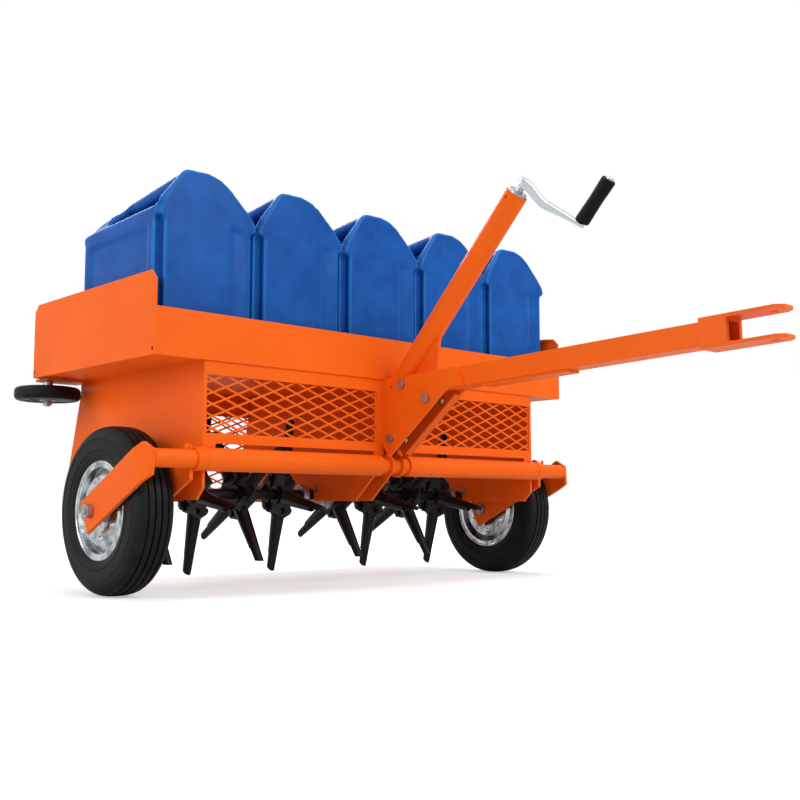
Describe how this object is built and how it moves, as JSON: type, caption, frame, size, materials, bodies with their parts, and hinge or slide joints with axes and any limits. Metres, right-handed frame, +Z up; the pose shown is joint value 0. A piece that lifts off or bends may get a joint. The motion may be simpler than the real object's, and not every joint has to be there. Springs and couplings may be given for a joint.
{
  "type": "tow-behind aerator",
  "caption": "Tow-behind core aerator: steel tray of water jugs on a box frame with free tine reels, swing-arm transport wheels, a screw-jack lift and a clevis tongue.",
  "frame": {"origin": "on the ground under the middle of the bounding box, midway between the clevis ears' front and the frame's rear foot", "axes": "+X across the machine, to the right as seen from the hitch; -Y forward to the hitch; +Z up"},
  "size_m": [1.362, 1.6154, 0.8967],
  "materials": {
    "orange_paint": "gloss powder coat",
    "black_paint": "satin black paint on steel",
    "zinc": "bright zinc plate",
    "galvanised": "dull silver on pressed steel",
    "tyre": "matt black rubber",
    "grip": "matt black grip",
    "hub_grey": "moulded grey",
    "jug_blue": "blow-moulded, slightly mottled",
    "cap_blue": "moulded, ribbed"
  },
  "bodies": {
    "frame": {"tray_pan": "orange_paint", "side_plate_left": "orange_paint", "side_plate_right": "orange_paint", "centre_plate_left": "orange_paint", "centre_plate_right": "orange_paint", "front_frame": "orange_paint", "front_mesh_left": "orange_paint", "front_mesh_right": "orange_paint", "rear_frame": "orange_paint", "rear_mesh": "orange_paint", "pivot_sleeve_left": "orange_paint", "pivot_sleeve_right": "orange_paint", "tongue_plate_left": "orange_paint", "tongue_plate_right": "orange_paint", "tongue_tube": "orange_paint", "hitch_clevis": "orange_paint", "jack_tube": "orange_paint", "frame_bolts": "zinc", "reel_bearings": "zinc", "storage_brackets": "orange_paint", "storage_studs": "zinc"},
    "rockshaft": {"rockshaft_tube": "orange_paint", "lift_lever": "orange_paint", "wheel_arms_left": "orange_paint", "wheel_arms_right": "orange_paint", "axle_bolts": "zinc", "grease_nipples": "orange_paint"},
    "crank": {"jack_screw": "zinc", "crank_arm": "zinc"},
    "grip": {"crank_grip": "grip"},
    "nut": {"trunnion_nut": "zinc"},
    "wheel_left": {"tyre_left": "tyre", "rim_left": "galvanised", "wheel_hub_left": "zinc"},
    "reel_left": {"reel_shaft_left": "black_paint", "star_hubs_left": "black_paint", "tines_left": "black_paint", "tine_bolts_left": "black_paint"},
    "storage_wheel_left": {"storage_tyre_left": "tyre", "storage_hub_left": "hub_grey"},
    "wheel_right": {"tyre_right": "tyre", "rim_right": "galvanised", "wheel_hub_right": "zinc"},
    "reel_right": {"reel_shaft_right": "black_paint", "star_hubs_right": "black_paint", "tines_right": "black_paint", "tine_bolts_right": "black_paint"},
    "storage_wheel_right": {"storage_tyre_right": "tyre", "storage_hub_right": "hub_grey"},
    "jug_1": {"jug_1": "jug_blue"},
    "cap_1": {"jug_cap_1": "cap_blue"},
    "jug_2": {"jug_2": "jug_blue"},
    "cap_2": {"jug_cap_2": "cap_blue"},
    "jug_3": {"jug_3": "jug_blue"},
    "cap_3": {"jug_cap_3": "cap_blue"},
    "jug_4": {"jug_4": "jug_blue"},
    "cap_4": {"jug_cap_4": "cap_blue"},
    "jug_5": {"jug_5": "jug_blue"},
    "cap_5": {"jug_cap_5": "cap_blue"}
  },
  "joints": [
    {"name": "crank_turn", "type": "hinge", "parent": "frame", "child": "crank", "pos_m": [0, -0.20535, 0.856], "axis": [0, 0.6909, -0.723], "range_deg": [0, 3218.52]},
    {"name": "lift", "type": "hinge", "parent": "frame", "child": "rockshaft", "pos_m": [0, 0.18865, 0.282], "axis": [1, 0, 0], "range_deg": [0, 27]},
    {"name": "nut_travel", "type": "slide", "parent": "frame", "child": "nut", "axis": [0, -0.6909, 0.723], "range_m": [0, 0.05384]},
    {"name": "grip_spin", "type": "hinge", "parent": "crank", "child": "grip", "pos_m": [0.10037, -0.28594, 0.77899], "axis": [0, -0.6909, 0.723], "continuous": true},
    {"name": "wheel_spin_left", "type": "hinge", "parent": "rockshaft", "child": "wheel_left", "pos_m": [-0.602, 0.39765, 0.178], "axis": [1, 0, 0], "continuous": true},
    {"name": "reel_spin_left", "type": "hinge", "parent": "frame", "child": "reel_left", "pos_m": [-0.27, 0.46165, 0.216], "axis": [1, 0, 0], "continuous": true},
    {"name": "storage_spin_left", "type": "hinge", "parent": "frame", "child": "storage_wheel_left", "pos_m": [-0.606, 0.73265, 0.4505], "axis": [0, 0, 1], "continuous": true},
    {"name": "wheel_spin_right", "type": "hinge", "parent": "rockshaft", "child": "wheel_right", "pos_m": [0.602, 0.39765, 0.178], "axis": [1, 0, 0], "continuous": true},
    {"name": "reel_spin_right", "type": "hinge", "parent": "frame", "child": "reel_right", "pos_m": [0.27, 0.46165, 0.216], "axis": [1, 0, 0], "continuous": true},
    {"name": "storage_spin_right", "type": "hinge", "parent": "frame", "child": "storage_wheel_right", "pos_m": [0.606, 0.73265, 0.4505], "axis": [0, 0, 1], "continuous": true},
    {"name": "jug_lift_1", "type": "slide", "parent": "frame", "child": "jug_1", "axis": [0, 0, 1], "range_m": [0, 0.45]},
    {"name": "cap_turn_1", "type": "hinge", "parent": "jug_1", "child": "cap_1", "pos_m": [-0.44, 0.47765, 0.799], "axis": [0, 0, 1], "range_deg": [0, 450]},
    {"name": "jug_lift_2", "type": "slide", "parent": "frame", "child": "jug_2", "axis": [0, 0, 1], "range_m": [0, 0.45]},
    {"name": "cap_turn_2", "type": "hinge", "parent": "jug_2", "child": "cap_2", "pos_m": [-0.191, 0.47765, 0.799], "axis": [0, 0, 1], "range_deg": [0, 450]},
    {"name": "jug_lift_3", "type": "slide", "parent": "frame", "child": "jug_3", "axis": [0, 0, 1], "range_m": [0, 0.45]},
    {"name": "cap_turn_3", "type": "hinge", "parent": "jug_3", "child": "cap_3", "pos_m": [0.058, 0.47765, 0.799], "axis": [0, 0, 1], "range_deg": [0, 450]},
    {"name": "jug_lift_4", "type": "slide", "parent": "frame", "child": "jug_4", "axis": [0, 0, 1], "range_m": [0, 0.45]},
    {"name": "cap_turn_4", "type": "hinge", "parent": "jug_4", "child": "cap_4", "pos_m": [0.307, 0.47765, 0.799], "axis": [0, 0, 1], "range_deg": [0, 450]},
    {"name": "jug_lift_5", "type": "slide", "parent": "frame", "child": "jug_5", "axis": [0, 0, 1], "range_m": [0, 0.45]},
    {"name": "cap_turn_5", "type": "hinge", "parent": "jug_5", "child": "cap_5", "pos_m": [0.556, 0.47765, 0.799], "axis": [0, 0, 1], "range_deg": [0, 450]}
  ],
  "couplings": [
    {"joint": "lift", "follows": "crank_turn", "ratio": 0.0083889},
    {"joint": "nut_travel", "follows": "crank_turn", "m_per_rad": 0.00095493}
  ]
}
